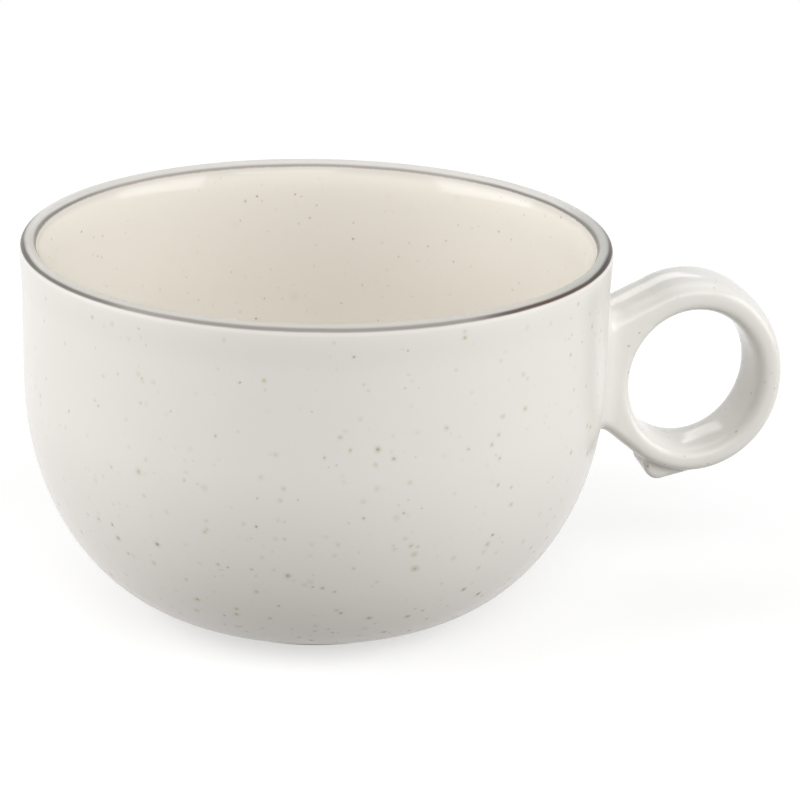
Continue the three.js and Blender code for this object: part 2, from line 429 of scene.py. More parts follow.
@dataclass(frozen=True)
class LipOxide:
    """Oxide painted over the lip: a dark line on each shoulder, worn pale over the crest, with
    painted glare there.
    """

    name: str
    axis_x: float
    crest_radius: float
    crest_height: float
    outer_glaze: Colour
    inner_glaze: Colour
    run_and_shade: LipRunAndShade
    thin_line: Colour = (0.33, 0.31, 0.29)
    grey_line: Colour = (0.175, 0.167, 0.152)
    brown_line: Colour = (0.095, 0.068, 0.054)
    # Very ends of the stroke: heavier paint, darkened further as painted shade against the
    # reflection where the lip turns edge-on.
    dark_line: Colour = (0.022, 0.016, 0.013)
    # Worn pale crest, partly a painted reflection of the light from above.
    crest: Colour = (0.595, 0.57, 0.527)
    full_crest: Colour = (0.48, 0.475, 0.445)
    # Painted glare: the crest paler towards the back, which the back lamps light.
    glare_crest: Colour = (0.70, 0.68, 0.645)
    stain: Colour = (0.72, 0.64, 0.61)
    crest_blend: float = 0.2 * MM
    outer_start: Span = (0.18 * MM, 0.52 * MM)
    outer_stop: Span = (0.76 * MM, 1.04 * MM)
    inner_start: Span = (0.40 * MM, 0.85 * MM)
    inner_stop: Span = (0.98 * MM, 1.26 * MM)
    inner_strength: float = 0.85
    stain_reach: float = 0.14 * MM
    waver: float = 0.06 * MM
    waver_size: float = 7 * MM
    streak: float = 0.1 * MM
    streak_size: float = 0.8 * MM
    streak_stretch: float = 0.12
    streak_detail: float = 3.0
    outer_streak_share: float = 0.2
    brush_depth: float = 0.02 * MM
    brush_strength: float = 0.2
    stroke_bearing: float = -10
    right_full: Span = (25 * MM, 35 * MM)
    crest_full: Span = (36 * MM, 46 * MM)
    # Where the painted glare on the back of the crest sets in.
    glare_span: Span = (0.0, 20 * MM)
    left_depth: float = 0.55
    outer_left_full: Span = (-29 * MM, -37 * MM)
    inner_left_full: Span = (-38 * MM, -48 * MM)
    side_reach: Span = (46 * MM, 52 * MM)
    side_spread: float = 0.22 * MM
    roughness: float = 0.25
    gloss_spread: float = 0.2
    specular: float = 0.12

    def material(self) -> bpy.types.Material:
        """Make the painted lip.

        Returns:
            Its material.
        """
        material, bench = new_material(self.name)
        position = bench.position()
        x = bench.part(position, Axis.X) - self.axis_x
        y = bench.part(position, Axis.Y)
        bearing = math.radians(self.stroke_bearing)
        along = x * math.cos(bearing) + y * math.sin(bearing)
        shoulder = self.crest_radius - self.crest_blend, self.crest_radius + self.crest_blend
        outside = bench.ease(x.length_with(y), *shoulder)
        inside = 1 - outside
        side = bench.ease(along * along, *(reach**2 for reach in self.side_reach))
        depth = self.crest_height - bench.part(position, Axis.Z)
        depth = depth + bench.noise(self.waver_size).swing(self.waver)
        spread = depth + side * self.side_spread
        begun = outside * bench.ease(spread, *self.outer_start)
        begun = begun + inside * bench.ease(spread, *self.inner_start) * self.inner_strength
        streaked = self.outer_streak_share + (1 - self.outer_streak_share) * inside
        edge = depth + self._streaks(bench, position) * streaked
        ended = self._past(bench, edge, outside, inside)
        cleared = self._past(bench, edge - self.stain_reach, outside, inside)
        line = self._line_colour(bench, along, side, outside)
        painted = bench.blend(begun, self._worn_and_glare_crest(bench, along, y), line)
        # Past the lines: the glaze; inside, with the oxide run and painted shade below the lip.
        glaze = bench.blend(outside, self.run_and_shade.over(bench, self.inner_glaze), self.outer_glaze)
        stained = bench.blend(cleared, self.stain, glaze)
        colour = bench.blend(ended, painted, stained)
        gloss = bench.noise(self.waver_size).drift(self.roughness, self.gloss_spread)
        normal = bench.bump(bench.noise(self.waver_size), self.brush_depth, self.brush_strength)
        bench.surface(colour, gloss, normal, self.specular)
        return material

    def _streaks(self, bench: NodeBench, position: Signal) -> Signal:
        """Fine upright unevenness of the lines' lower edges.

        Args:
            bench: The finish's bench.
            position: Place on the surface.

        Returns:
            How far the edge is shifted.
        """
        stretch = {0: position, 1: (1.0, 1.0, self.streak_stretch)}
        drawn = bench.node("ShaderNodeVectorMath", {"operation": "MULTIPLY"}, stretch)
        return bench.noise(self.streak_size, self.streak_detail, drawn).swing(self.streak)

    def _line_colour(
        self, bench: NodeBench, along: Signal, side: Signal, outside: Signal
    ) -> Signal:
        """Colour of the two lines: heavier paint at the right and left ends, with painted shade at
        the very ends.

        Args:
            bench: The finish's bench.
            along: Distance along the stroke.
            side: One at the two ends of the stroke.
            outside: One on the lip's outer shoulder.

        Returns:
            The colour.
        """
        right = bench.ease(along, *self.right_full)
        left = outside * bench.ease(along, *self.outer_left_full)
        left = left + (1 - outside) * bench.ease(along, *self.inner_left_full)
        line = bench.blend(right.larger(left), self.thin_line, self.grey_line)
        line = bench.blend(right * outside, line, self.brown_line)
        # Painted shade at the stroke's very ends, against the reflection where the lip turns
        # edge-on.
        return bench.blend(side * outside * right.larger(self.left_depth), line, self.dark_line)

    def _worn_and_glare_crest(self, bench: NodeBench, along: Signal, y: Signal) -> Signal:
        """Colour of the crest: worn paint and a painted reflection, darker at the right and paler
        at the back as painted glare.

        Args:
            bench: The finish's bench.
            along: Distance along the stroke.
            y: Distance to the back.

        Returns:
            The colour.
        """
        worn = bench.blend(bench.ease(along, *self.crest_full), self.crest, self.full_crest)
        # Painted glare towards the back.
        return bench.blend(bench.ease(y, *self.glare_span), worn, self.glare_crest)

    def _past(self, bench: NodeBench, depth: Signal, outside: Signal, inside: Signal) -> Signal:
        """How far a point lies past the lower edge of its line.

        Args:
            bench: The finish's bench.
            depth: Depth below the crest.
            outside: One on the lip's outer shoulder.
            inside: One on its inner shoulder.

        Returns:
            A number from nought to one.
        """
        past = outside * bench.ease(depth, *self.outer_stop)
        return past + inside * bench.ease(depth, *self.inner_stop)


@dataclass(frozen=True)
class BareClay:
    """Fired stoneware without glaze: sandy, matt and a little uneven in colour."""

    name: str
    pale: Colour
    dark: Colour
    grit: Colour
    cloud_size: float = 9 * MM
    grain_size: float = 0.5 * MM
    grain_depth: float = 0.06 * MM
    grain_strength: float = 0.5
    cloud_detail: float = 3.0
    grain_detail: float = 4.0
    grit_span: Span = (0.62, 0.72)
    roughness: float = 0.8
    matt_spread: float = 0.15
    specular: float = 0.5

    def material(self) -> bpy.types.Material:
        """Make the clay.

        Returns:
            Its material.
        """
        material, bench = new_material(self.name)
        grain = bench.noise(self.grain_size, self.grain_detail)
        cloud = bench.noise(self.cloud_size, self.cloud_detail)
        colour = bench.blend(cloud, self.pale, self.dark)
        colour = bench.blend(bench.ease(grain, *self.grit_span), colour, self.grit)
        matt = grain.drift(self.roughness, self.matt_spread)
        normal = bench.bump(grain, self.grain_depth, self.grain_strength)
        bench.surface(colour, matt, normal, self.specular)
        return material


def arc(
    centre: Sequence[float], radii: Sequence[float], start: float, stop: float, steps: int
) -> np.ndarray:
    """Points of an elliptic arc of a turned profile.

    Args:
        centre: Radius and height of its centre.
        radii: Its half widths, level and upright.
        start: First angle, in degrees from level and outwards, turning up.
        stop: Last angle.
        steps: Number of steps between them.

    Returns:
        One row of radius and height for each point.
    """
    angles = np.radians(np.linspace(start, stop, steps + 1))
    radius = centre[0] + radii[0] * np.cos(angles)
    height = centre[1] + radii[1] * np.sin(angles)
    return np.column_stack((radius, height))


def smooth_step(share: np.ndarray) -> np.ndarray:
    """Ease from nought to one with level ends."""
    return share**2 * (3 - 2 * share)


def ellipse_distance(
    across: np.ndarray, up: np.ndarray, radii: tuple[float, float]
) -> tuple[np.ndarray, np.ndarray]:
    """How far points lie outside an ellipse.

    Args:
        across: Level distances from its middle.
        up: Upright distances from its middle.
        radii: Its half widths, level and upright.

    Returns:
        The distances, and how high on the ellipse each point lies, from -1 below to 1 above.
    """
    reach, rise = radii
    level = across / reach
    upright = up / rise
    stretch = np.maximum(np.hypot(level, upright), ELLIPSE_CORE)
    slope = np.hypot(level / reach, upright / rise) / stretch
    return (stretch - 1) / np.maximum(slope, ELLIPSE_CORE / rise), upright / stretch


def add_piece(
    name: str, vertices: Sequence[Sequence[float]], faces: Sequence[Sequence[int]]
) -> bpy.types.Object:
    """Add a smooth closed mesh to the scene.

    Args:
        name: The piece's name.
        vertices: Its points.
        faces: Numbers of each face's points.

    Returns:
        The new object.
    """
    mesh = bpy.data.meshes.new(name)
    mesh.from_pydata(vertices, [], faces)
    shape = bmesh.new()
    shape.from_mesh(mesh)
    bmesh.ops.recalc_face_normals(shape, faces=shape.faces)
    shape.to_mesh(mesh)
    shape.free()
    mesh.shade_smooth()
    mesh.set_sharp_from_angle(angle=math.radians(SHARP_DEGREES))
    piece = bpy.data.objects.new(name, mesh)
    bpy.context.scene.collection.objects.link(piece)
    return piece


def seat(piece: bpy.types.Object, finish: bpy.types.Material, node: str) -> None:
    """Fix a piece to the cup in place of a node of the construction.

    Args:
        piece: The piece.
        finish: Its material.
        node: The node that the piece stands for.
    """
    piece.data.materials.clear()
    piece.data.materials.append(finish)
    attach(piece, BODY)
    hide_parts(node)
    LOG.info("%s: %d faces, in place of %s", piece.name, len(piece.data.polygons), node)


@dataclass(frozen=True)
class CupForm:
    """Sizes of the turned cup, over its fired glaze."""

    axis_x: float
    height: float
    bead_radius: float
    bead_standout: float = 0.3 * MM
    bead_drop: float = 2.4 * MM
    bead_fade: float = 6 * MM
    shoulder_squareness: float = 2.6
    crest_inset: float = 1.45 * MM
    inner_lean: float = 2.37 * MM
    inner_drop: float = 8 * MM
    straight_depth: float = 25.7 * MM
    floor_thickness: float = 4.6 * MM
    floor_radius: float = 20 * MM
    foot_radius: float = 26 * MM
    foot_width: float = 3 * MM
    foot_round: float = 0.7 * MM
    foot_lap: float = 3.8 * MM
    belly_clearance: float = 0.85 * MM
    bare_strip: float = 1 * MM
    recess_depth: float = 2 * MM
    glaze: float = 0.45 * MM
    band_depth: float = 1.6 * MM
    belly_steps: int = 40
    fade_steps: int = 8
    lip_steps: int = 24
    edge_steps: int = 6

    @classmethod
    def from_frame(cls) -> "CupForm":
        """Take the cup's place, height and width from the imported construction."""
        low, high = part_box("outer_glaze")
        return cls((low.x + high.x) / 2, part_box("rim_band")[1].z, (high.y - low.y) / 2)

    @property
    def wall_radius(self) -> float:
        """Radius of the straight wall."""
        return self.bead_radius - self.bead_standout

    @property
    def crest_radius(self) -> float:
        """Radius of the lip's crest."""
        return self.wall_radius - self.crest_inset

    @property
    def inner_radius(self) -> float:
        """Radius of the inside, below the lip's lean."""
        return self.crest_radius - self.inner_lean

    @property
    def band_start(self) -> float:
        """Angle on the lip, in degrees from level outwards, at which the painted band starts."""
        rise = 1 - self.band_depth / self.bead_drop
        return math.degrees(math.asin(rise ** (self.shoulder_squareness / 2)))

    @property
    def band_stop(self) -> float:
        """Angle on the lip at which the painted band ends inside."""
        return 180 - math.degrees(math.asin(1 - self.band_depth / self.inner_drop))

    @property
    def bead_height(self) -> float:
        """Height of the middle of the lip's bead."""
        return self.height - self.bead_drop

    @property
    def belly_top(self) -> float:
        """Height at which the wall starts to draw in."""
        return self.height - self.straight_depth

    @property
    def belly_flat_radius(self) -> float:
        """Radius at which the belly's curve is level."""
        return self.foot_radius - self.foot_lap

    @property
    def belly_radii(self) -> tuple[float, float]:
        """Half widths of the belly's elliptic curve, level and upright."""
        return self.wall_radius - self.belly_flat_radius, self.belly_top - self.belly_clearance

    @property
    def floor_height(self) -> float:
        """Height of the floor inside."""
        return self.recess_depth + self.floor_thickness

    def outside(self, inset: float, start_radius: float) -> np.ndarray:
        """Outside of the cup from under the belly up to the bead.

        Args:
            inset: Depth below the glazed surface.
            start_radius: Radius at which the profile starts.

        Returns:
            The profile's points.
        """
        centre = self.belly_flat_radius, self.belly_top
        reach, depth = (half - inset for half in self.belly_radii)
        start = -math.degrees(math.acos((start_radius - self.belly_flat_radius) / reach))
        belly = arc(centre, (reach, depth), start, 0, self.belly_steps)
        rise = np.linspace(0, 1, self.fade_steps + 1)
        swell = self.bead_standout * smooth_step(rise)
        heights = self.bead_height - self.bead_fade * (1 - rise)
        return np.vstack((belly, np.column_stack((self.wall_radius - inset + swell, heights))))

    def lip(self, inset: float, start: float, stop: float) -> np.ndarray:
        """Over the lip, from its bead outside to its edge inside.

        Args:
            inset: Depth below the glazed surface.
            start: First angle, in degrees from level and outwards.
            stop: Last angle; 90 is the crest and 180 the inside.

        Returns:
            The profile's points.
        """
        angles = np.radians(np.linspace(start, stop, self.lip_steps + 1))
        outside = np.cos(angles) > 0
        reach = np.where(outside, self.bead_radius - self.crest_radius, self.inner_lean) - inset
        drop = np.where(outside, self.bead_drop, self.inner_drop)
        power = np.where(outside, 2 / self.shoulder_squareness, 1)
        across = np.sign(np.cos(angles)) * np.abs(np.cos(angles)) ** power
        rise = np.abs(np.sin(angles)) ** power
        heights = self.height - drop + (drop - inset) * rise
        return np.column_stack((self.crest_radius + reach * across, heights))

    def inside(self, inset: float) -> np.ndarray:
        """Inside of the cup from below the lip down to the middle of the floor.

        Args:
            inset: Depth below the glazed surface.

        Returns:
            The profile's points.
        """
        radii = (
            self.inner_radius - self.floor_radius + inset,
            self.belly_top - self.floor_height + inset,
        )
        bowl = arc((self.floor_radius, self.belly_top), radii, 0, -90, self.belly_steps)
        return np.vstack((bowl, (0, self.floor_height - inset)))

    def wall_distance(self, radius: np.ndarray, height: np.ndarray) -> np.ndarray:
        """How far points lie outside the glazed wall.

        Args:
            radius: Distances from the cup's axis.
            height: Heights over the table.

        Returns:
            Distances, less than nought within the wall.
        """
        below = np.minimum(height - self.belly_top, 0)
        return ellipse_distance(radius - self.belly_flat_radius, below, self.belly_radii)[0]


@dataclass
class Cup:
    """The turned part of the cup: clay, glazes and the painted lip."""

    form: CupForm
    turn_steps: int = 224
    clay_gap: float = 0.02 * MM

    def turn(self, name: str, profile: np.ndarray) -> bpy.types.Object:
        """Turn a profile around the cup's axis.

        Args:
            name: The piece's name.
            profile: Rows of radius and height, closed on itself or ending on the axis twice.

        Returns:
            The turned piece.
        """
        angles = np.linspace(0, 2 * math.pi, self.turn_steps, endpoint=False)
        vertices: list[Point] = []
        rings: list[list[int]] = []
        for radius, height in profile:
            first = len(vertices)
            ring = angles if radius > 0 else angles[:1]
            vertices += [
                (self.form.axis_x + radius * math.cos(angle), radius * math.sin(angle), height)
                for angle in ring
            ]
            rings.append(list(range(first, len(vertices))))
        faces = []
        for lower, upper in zip(rings, rings[1:] + rings[:1]):
            if len(lower) == len(upper) == 1:
                continue
            for step in range(self.turn_steps):
                after = (step + 1) % self.turn_steps
                corners = (lower[step % len(lower)], lower[after % len(lower)])
                corners += (upper[after % len(upper)], upper[step % len(upper)])
                faces.append(tuple(dict.fromkeys(corners)))
        return add_piece(name, vertices, faces)

    def clay_profile(self) -> np.ndarray:
        """Outline of the clay cup, with its bare foot ring.

        Returns:
            Rows of radius and height.
        """
        form = self.form
        inset = form.glaze + self.clay_gap
        base = form.recess_depth + inset
        bore = form.foot_radius - form.foot_width
        rounding = form.foot_round, form.foot_round
        inner_centre = bore + form.foot_round, form.foot_round
        outer_centre = form.foot_radius - form.foot_round, form.foot_round
        return np.vstack((
            (0, base),
            (bore, base),
            arc(inner_centre, rounding, 180, 270, form.edge_steps),
            arc(outer_centre, rounding, 270, 360, form.edge_steps),
            form.outside(inset, form.foot_radius),
            form.lip(inset, 0, 180)[1:],
            form.inside(inset),
        ))

    def outer_profile(self) -> np.ndarray:
        """Outline of the outer glaze, which ends above the foot in a rounded roll.

        Returns:
            Rows of radius and height.
        """
        form = self.form
        start = form.foot_radius + form.bare_strip
        face, back = (
            np.vstack((form.outside(inset, start), form.lip(inset, 0, form.band_start)[1:]))
            for inset in (0, form.glaze)
        )
        middle = (face[0] + back[0]) / 2
        half = form.glaze / 2
        roll = arc(middle, (half, half), 90, 270, form.edge_steps)[1:-1]
        return np.vstack((face, back[::-1], roll))

    def liner_profile(self) -> np.ndarray:
        """Outline of the glaze that lines the inside.

        Returns:
            Rows of radius and height.
        """
        form = self.form
        face, back = (
            np.vstack((form.lip(inset, form.band_stop, 180), form.inside(inset)))
            for inset in (0, form.glaze)
        )
        return np.vstack((back[::-1], face))

    def band_profile(self) -> np.ndarray:
        """Outline of the painted band over the lip.

        Returns:
            Rows of radius and height.
        """
        form = self.form
        span = form.band_start, form.band_stop
        face, back = (form.lip(inset, *span) for inset in (0, form.glaze))
        return np.vstack((face, back[::-1]))

    def base_profile(self) -> np.ndarray:
        """Outline of the glaze on the base, drawn up a little where it meets the foot ring.

        Returns:
            Rows of radius and height.
        """
        form = self.form
        edge = form.foot_radius - form.foot_width
        draw = 2 * form.glaze
        centre = edge - draw, form.recess_depth - draw
        cove = arc(centre, (draw, draw), 90, 0, form.edge_steps)
        top = form.recess_depth + form.glaze
        return np.vstack(((0, form.recess_depth), cove, (edge, top), (0, top)))

    def build(self) -> None:
        """Make the turned pieces."""
        self.clay = self.turn("clay_cup", self.clay_profile())
        self.outer = self.turn("outer_glaze_shell", self.outer_profile())
        self.liner = self.turn("liner_glaze_shell", self.liner_profile())
        self.band = self.turn("lip_band", self.band_profile())
        self.base = self.turn("base_glaze_disc", self.base_profile())

    def dress(self, clay: BareClay, outer: Glaze, liner: Glaze, lip: LipOxide) -> None:
        """Give the pieces their finishes.

        Args:
            clay: Finish of the bare foot.
            outer: Glaze of the outside and the base.
            liner: Glaze of the inside.
            lip: Paint of the lip.
        """
        pale = outer.material()
        seat(self.clay, clay.material(), "cup_body")
        seat(self.outer, pale, "outer_glaze")
        seat(self.liner, liner.material(), "liner_glaze")
        seat(self.band, lip.material(), "rim_band")
        seat(self.base, pale, "base_glaze")


def slope_of(field: Field, points: np.ndarray, reach: float) -> np.ndarray:
    """Gradient of a distance field.

    Args:
        field: The field.
        points: Where to take it.
        reach: Half the stretch over which it is measured.

    Returns:
        One row for each point.
    """
    steps = reach * np.eye(3)
    rises = [field(points + step) - field(points - step) for step in steps]
    return np.column_stack(rises) / (2 * reach)


def smooth_union(first: np.ndarray, second: np.ndarray, fillet: float) -> np.ndarray:
    """Join two distance fields with a fillet in the corner between them.

    Args:
        first: Distances to one shape.
        second: Distances to the other.
        fillet: How far the fillet reaches over each.

    Returns:
        Distances to the joined shape.
    """
    near = np.clip(fillet - np.abs(first - second), 0, None) / fillet
    return np.minimum(first, second) - near**2 * fillet / 4


def rounded(first: np.ndarray, second: np.ndarray, radius: float) -> np.ndarray:
    """Cut two distance fields with each other and round the edge.

    Args:
        first: Distances to one shape.
        second: Distances to the other.
        radius: Rounding of the edge between them.

    Returns:
        Distances to what the shapes share.
    """
    first = first + radius
    second = second + radius
    outside = np.hypot(np.maximum(first, 0), np.maximum(second, 0))
    return outside + np.minimum(np.maximum(first, second), 0) - radius


@dataclass(frozen=True)
class SurfaceNet:
    """Meshes a distance field with one point in each grid cell that the surface crosses."""

    field: Field
    low: Point
    high: Point
    pitch: float = 0.42 * MM
    rounds: int = 6
    relax: float = 0.5
    slope_reach: float = 0.1
    least_slope: float = 0.5

    def mesh(self) -> tuple[np.ndarray, np.ndarray]:
        """Make the mesh.

        Returns:
            Its points, and the four point numbers of each face.
        """
        ticks = [np.arange(low, high, self.pitch) for low, high in zip(self.low, self.high)]
        corners = np.stack(np.meshgrid(*ticks, indexing="ij"), axis=-1)
        values = self.field(corners.reshape(-1, 3)).reshape(corners.shape[:3])
        total = np.zeros((values.size, 3))
        count = np.zeros(values.size)
        quads = []
        for axis in range(3):
            starts, crossings, rising = self._crossings(corners, values, axis)
            around = self._cells_around(starts, axis, values.shape)
            for cells in around.T:
                np.add.at(total, cells, crossings)
                np.add.at(count, cells, 1)
            quads.append(np.where(rising[:, None], around, around[:, ::-1]))
        faces = np.vstack(quads)
        used, numbers = np.unique(faces, return_inverse=True)
        points = total[used] / count[used, None]
        faces = numbers.reshape(-1, 4)
        return self._settle(points, faces), faces

    def _crossings(
        self, corners: np.ndarray, values: np.ndarray, axis: int
    ) -> tuple[np.ndarray, np.ndarray, np.ndarray]:
        """Find where the surface crosses the grid's lines along one axis.

        Args:
            corners: Places of the grid's corners.
            values: The field there.
            axis: Number of the axis.

        Returns:
            The corner before each crossing, its place, and whether the field rises there.
        """
        before = np.take(values, range(values.shape[axis] - 1), axis)
        after = np.take(values, range(1, values.shape[axis]), axis)
        starts = np.argwhere((before < 0) != (after < 0))
        first = before[tuple(starts.T)]
        second = after[tuple(starts.T)]
        places = corners[tuple(starts.T)]
        places[:, axis] += self.pitch * first / (first - second)
        return starts, places, first < 0

    def _cells_around(self, starts: np.ndarray, axis: int, shape: tuple[int, ...]) -> np.ndarray:
        """Number the four cells around each of the grid's edges.

        Args:
            starts: First corner of each edge.
            axis: Number of the axis that the edges run along.
            shape: Number of corners along each axis.

        Returns:
            Four cell numbers for each edge, in order around it.
        """
        across, upright = np.roll(np.arange(3), -axis)[1:]
        columns = []
        for side, lift in ((0, 0), (-1, 0), (-1, -1), (0, -1)):
            cell = starts.copy()
            cell[:, across] += side
            cell[:, upright] += lift
            columns.append(np.ravel_multi_index(tuple(cell.T), shape))
        return np.column_stack(columns)

    def _settle(self, points: np.ndarray, faces: np.ndarray) -> np.ndarray:
        """Even out the points and draw them onto the surface.

        Args:
            points: The mesh's points.
            faces: Its faces.

        Returns:
            The settled points.
        """
        starts = faces.ravel()
        ends = np.roll(faces, -1, axis=1).ravel()
        ties = np.bincount(starts, minlength=len(points)) + np.bincount(ends, minlength=len(points))
        for _ in range(self.rounds):
            pull = np.zeros_like(points)
            np.add.at(pull, starts, points[ends])
            np.add.at(pull, ends, points[starts])
            points = points + self.relax * (pull / ties[:, None] - points)
            slope = slope_of(self.field, points, self.slope_reach * self.pitch)
            steep = np.maximum((slope**2).sum(axis=1), self.least_slope**2)
            points = points - slope * (self.field(points) / steep)[:, None]
        return points


@dataclass(frozen=True)
class NeckBar:
    """A straight stretch of strap from the ring to the wall, in the plane of the ring."""

    start: np.ndarray
    run: np.ndarray
    out: np.ndarray
    extra: float

    def place(self, x: np.ndarray, z: np.ndarray) -> tuple[np.ndarray, np.ndarray]:
        """Where points lie beside the stretch.

        Args:
            x: Distances from the cup's axis.
            z: Heights.

        Returns:
            Distances along its run and outside its middle line.
        """
        x, z = x - self.start[0], z - self.start[1]
        return x * self.run[0] + z * self.run[1], x * self.out[0] + z * self.out[1]


@dataclass
class RingHandle:
    """The handle: a strap bent into a ring, with a neck to the wall and a short tail.

    Its own frame has x from the cup's axis outwards, y across the strap and z up from the table.
    """

    form: CupForm
    hole_width: float = 24.1 * MM
    hole_height: float = 26.4 * MM
    hole_to_wall: float = 5.05 * MM
    hole_drop: float = 28.7 * MM
    strap_thickness: float = 5.15 * MM
    strap_width: float = 14.8 * MM
    outer_squareness: float = 2.8
    inner_squareness: float = 3.2
    section_core: float = 1e-3
    crown: float = 0.8 * MM
    heel: float = 0.1 * MM
    swell_power: float = 1.2
    neck_top_leaves: float = 114
    neck_bottom_leaves: float = 232
    bar_takeover: float = 3 * MM
    tail_angle: float = 251
    tail_runout: float = 21
    tail_standout: float = 2.4 * MM
    tail_root: float = 1.5 * MM
    tail_nose: float = 2.7 * MM
    tail_width: float = 10 * MM
    tail_edge: float = 1 * MM
    tail_fillet: float = 0.4 * MM
    wall_fillet: float = 3.6 * MM
    wall_sink: float = 0.012 * MM
    skirt_lap: float = 0.4 * MM
    root_depth: float = 1.2 * MM
    slip: float = 0.6 * MM
    clay_pitch: float = 0.6 * MM
    margin: float = 2 * MM

    @property
    def hole(self) -> tuple[float, float]:
        """Middle of the finger hole: distance from the cup's axis and height."""
        across = self.form.wall_radius + self.hole_to_wall + self.hole_width / 2
        return across, self.form.height - self.hole_drop

    def around_hole(self, distance: float, degrees: float) -> np.ndarray:
        """A point beside the finger hole.

        Args:
            distance: How far it lies outside the hole's edge.
            degrees: Where round the hole it lies, from straight out and turning up.

        Returns:
            Its distance from the cup's axis and its height.
        """
        angle = math.radians(degrees)
        across = (self.hole_width / 2 + distance) * math.cos(angle)
        upright = (self.hole_height / 2 + distance) * math.sin(angle)
        return np.array(self.hole) + (across, upright)

    @property
    def middle_radii(self) -> tuple[float, float]:
        """Half widths of the ellipse that the strap's middle line follows, level and upright."""
        thickness = self.strap_thickness
        return (self.hole_width + thickness) / 2, (self.hole_height + thickness) / 2

    def swell(self, lift: np.ndarray | float) -> np.ndarray:
        """How much the strap is thicker than at its side.

        Args:
            lift: How high on the ring, from -1 below to 1 above.

        Returns:
            The difference, less than nought where the strap is thinner.
        """
        most = np.where(np.asarray(lift) > 0, self.crown, -self.heel)
        return most * np.abs(lift) ** self.swell_power

    def section_distance(
        self, out: np.ndarray, y: np.ndarray, extra: np.ndarray | float
    ) -> np.ndarray:
        """Distance to the strap's section, a soft-cornered rectangle, squarer towards the hole.

        Args:
            out: Distances outside the strap's middle line.
            y: Distances across the strap.
            extra: Thickness added on the outer face.

        Returns:
            Distances, less than nought inside.
        """
        half_thick = (self.strap_thickness + extra) / 2
        half_wide = self.strap_width / 2
        power = np.where(out > extra / 2, self.outer_squareness, self.inner_squareness)
        thick = np.abs(out - extra / 2) / half_thick
        wide = np.abs(y) / half_wide
        size = np.maximum((thick**power + wide**power) ** (1 / power), self.section_core)
        thick_slope = (thick / size) ** (power - 1) / half_thick
        wide_slope = (wide / size) ** (power - 1) / half_wide
        return (size - 1) / np.hypot(thick_slope, wide_slope)

    def neck_bar(self, degrees: float) -> NeckBar:
        """The straight stretch of strap that leaves the ring for the wall.

        Args:
            degrees: Where round the hole it leaves, from straight out and turning up.

        Returns:
            The stretch's start and directions.
        """
        angle = math.radians(degrees)
        reach, rise = self.middle_radii
        out = np.array((rise * math.cos(angle), reach * math.sin(angle)))
        out /= np.linalg.norm(out)
        run = np.array((-abs(out[1]), out[0] * np.sign(out[1])))
        start = self.around_hole(self.strap_thickness / 2, degrees)
        return NeckBar(start, run, out, float(self.swell(math.sin(angle))))

    def strap_distance(self, x: np.ndarray, y: np.ndarray, z: np.ndarray) -> np.ndarray:
        """Distance to the ring with its two bars and the web between them and the wall.

        Args:
            x: Distances from the cup's axis.
            y: Distances across the strap.
            z: Heights.

        Returns:
            Distances, less than nought inside.
        """
        across, up = self.hole
        middle, lift = ellipse_distance(x - across, z - up, self.middle_radii)
        strap = self.section_distance(middle, y, self.swell(lift))
        web = np.maximum(np.abs(y) - self.strap_width / 2, -middle)
        bars = self.neck_bar(self.neck_top_leaves), self.neck_bar(self.neck_bottom_leaves)
        for bar in bars:
            along, out = bar.place(x, z)
            share = smooth_step(np.clip(along / self.bar_takeover, 0, 1))
            gain = np.maximum(strap - self.section_distance(out, y, bar.extra), 0)
            strap = strap - share * gain
            web = np.maximum(web, out)
        chord = bars[1].start - bars[0].start
        chord /= np.linalg.norm(chord)
        web = np.maximum(web, chord[0] * (z - bars[0].start[1]) - chord[1] * (x - bars[0].start[0]))
        return np.minimum(strap, web)

    def tail_distance(self, x: np.ndarray, y: np.ndarray, z: np.ndarray) -> np.ndarray:
        """Distance to the strap's tail, which leaves the ring and ends in a round nose.

        Args:
            x: Distances from the cup's axis.
            y: Distances across the strap.
            z: Heights.

        Returns:
            Distances, less than nought inside.
        """
        root_out = self.strap_thickness - self.tail_root
        nose_out = self.strap_thickness + self.tail_standout - self.tail_nose
        start = self.around_hole(root_out, self.tail_angle + self.tail_runout)
        nose = self.around_hole(nose_out, self.tail_angle)
        run = nose - start
        share = np.clip(((x - start[0]) * run[0] + (z - start[1]) * run[1]) / (run @ run), 0, 1)
        radius = self.tail_root + share * (self.tail_nose - self.tail_root)
        outline = np.hypot(x - start[0] - share * run[0], z - start[1] - share * run[1]) - radius
        return rounded(outline, np.abs(y) - self.tail_width / 2, self.tail_edge)

    def distance(self, points: np.ndarray) -> np.ndarray:
        """Distance to the glazed handle with its fillet on the wall.

        Args:
            points: Places in the handle's own frame.

        Returns:
            Distances, less than nought inside.
        """
        x, y, z = points.T
        tail = self.tail_distance(x, y, z)
        strap = smooth_union(self.strap_distance(x, y, z), tail, self.tail_fillet)
        wall = self.form.wall_distance(np.hypot(x, y), z) + self.wall_sink
        joined = smooth_union(strap, wall, self.wall_fillet)
        skirt = strap - self.wall_fillet - self.skirt_lap
        return np.maximum(np.maximum(joined, skirt), -wall - self.root_depth)

    def clay_distance(self, points: np.ndarray) -> np.ndarray:
        """Distance to the clay under the glaze, which ends at the slip on the wall.

        Args:
            points: Places in the handle's own frame.

        Returns:
            Distances, less than nought inside.
        """
        x, y, z = points.T
        wall = self.form.wall_distance(np.hypot(x, y), z)
        return np.maximum(self.distance(points) + self.form.glaze, self.slip - wall)

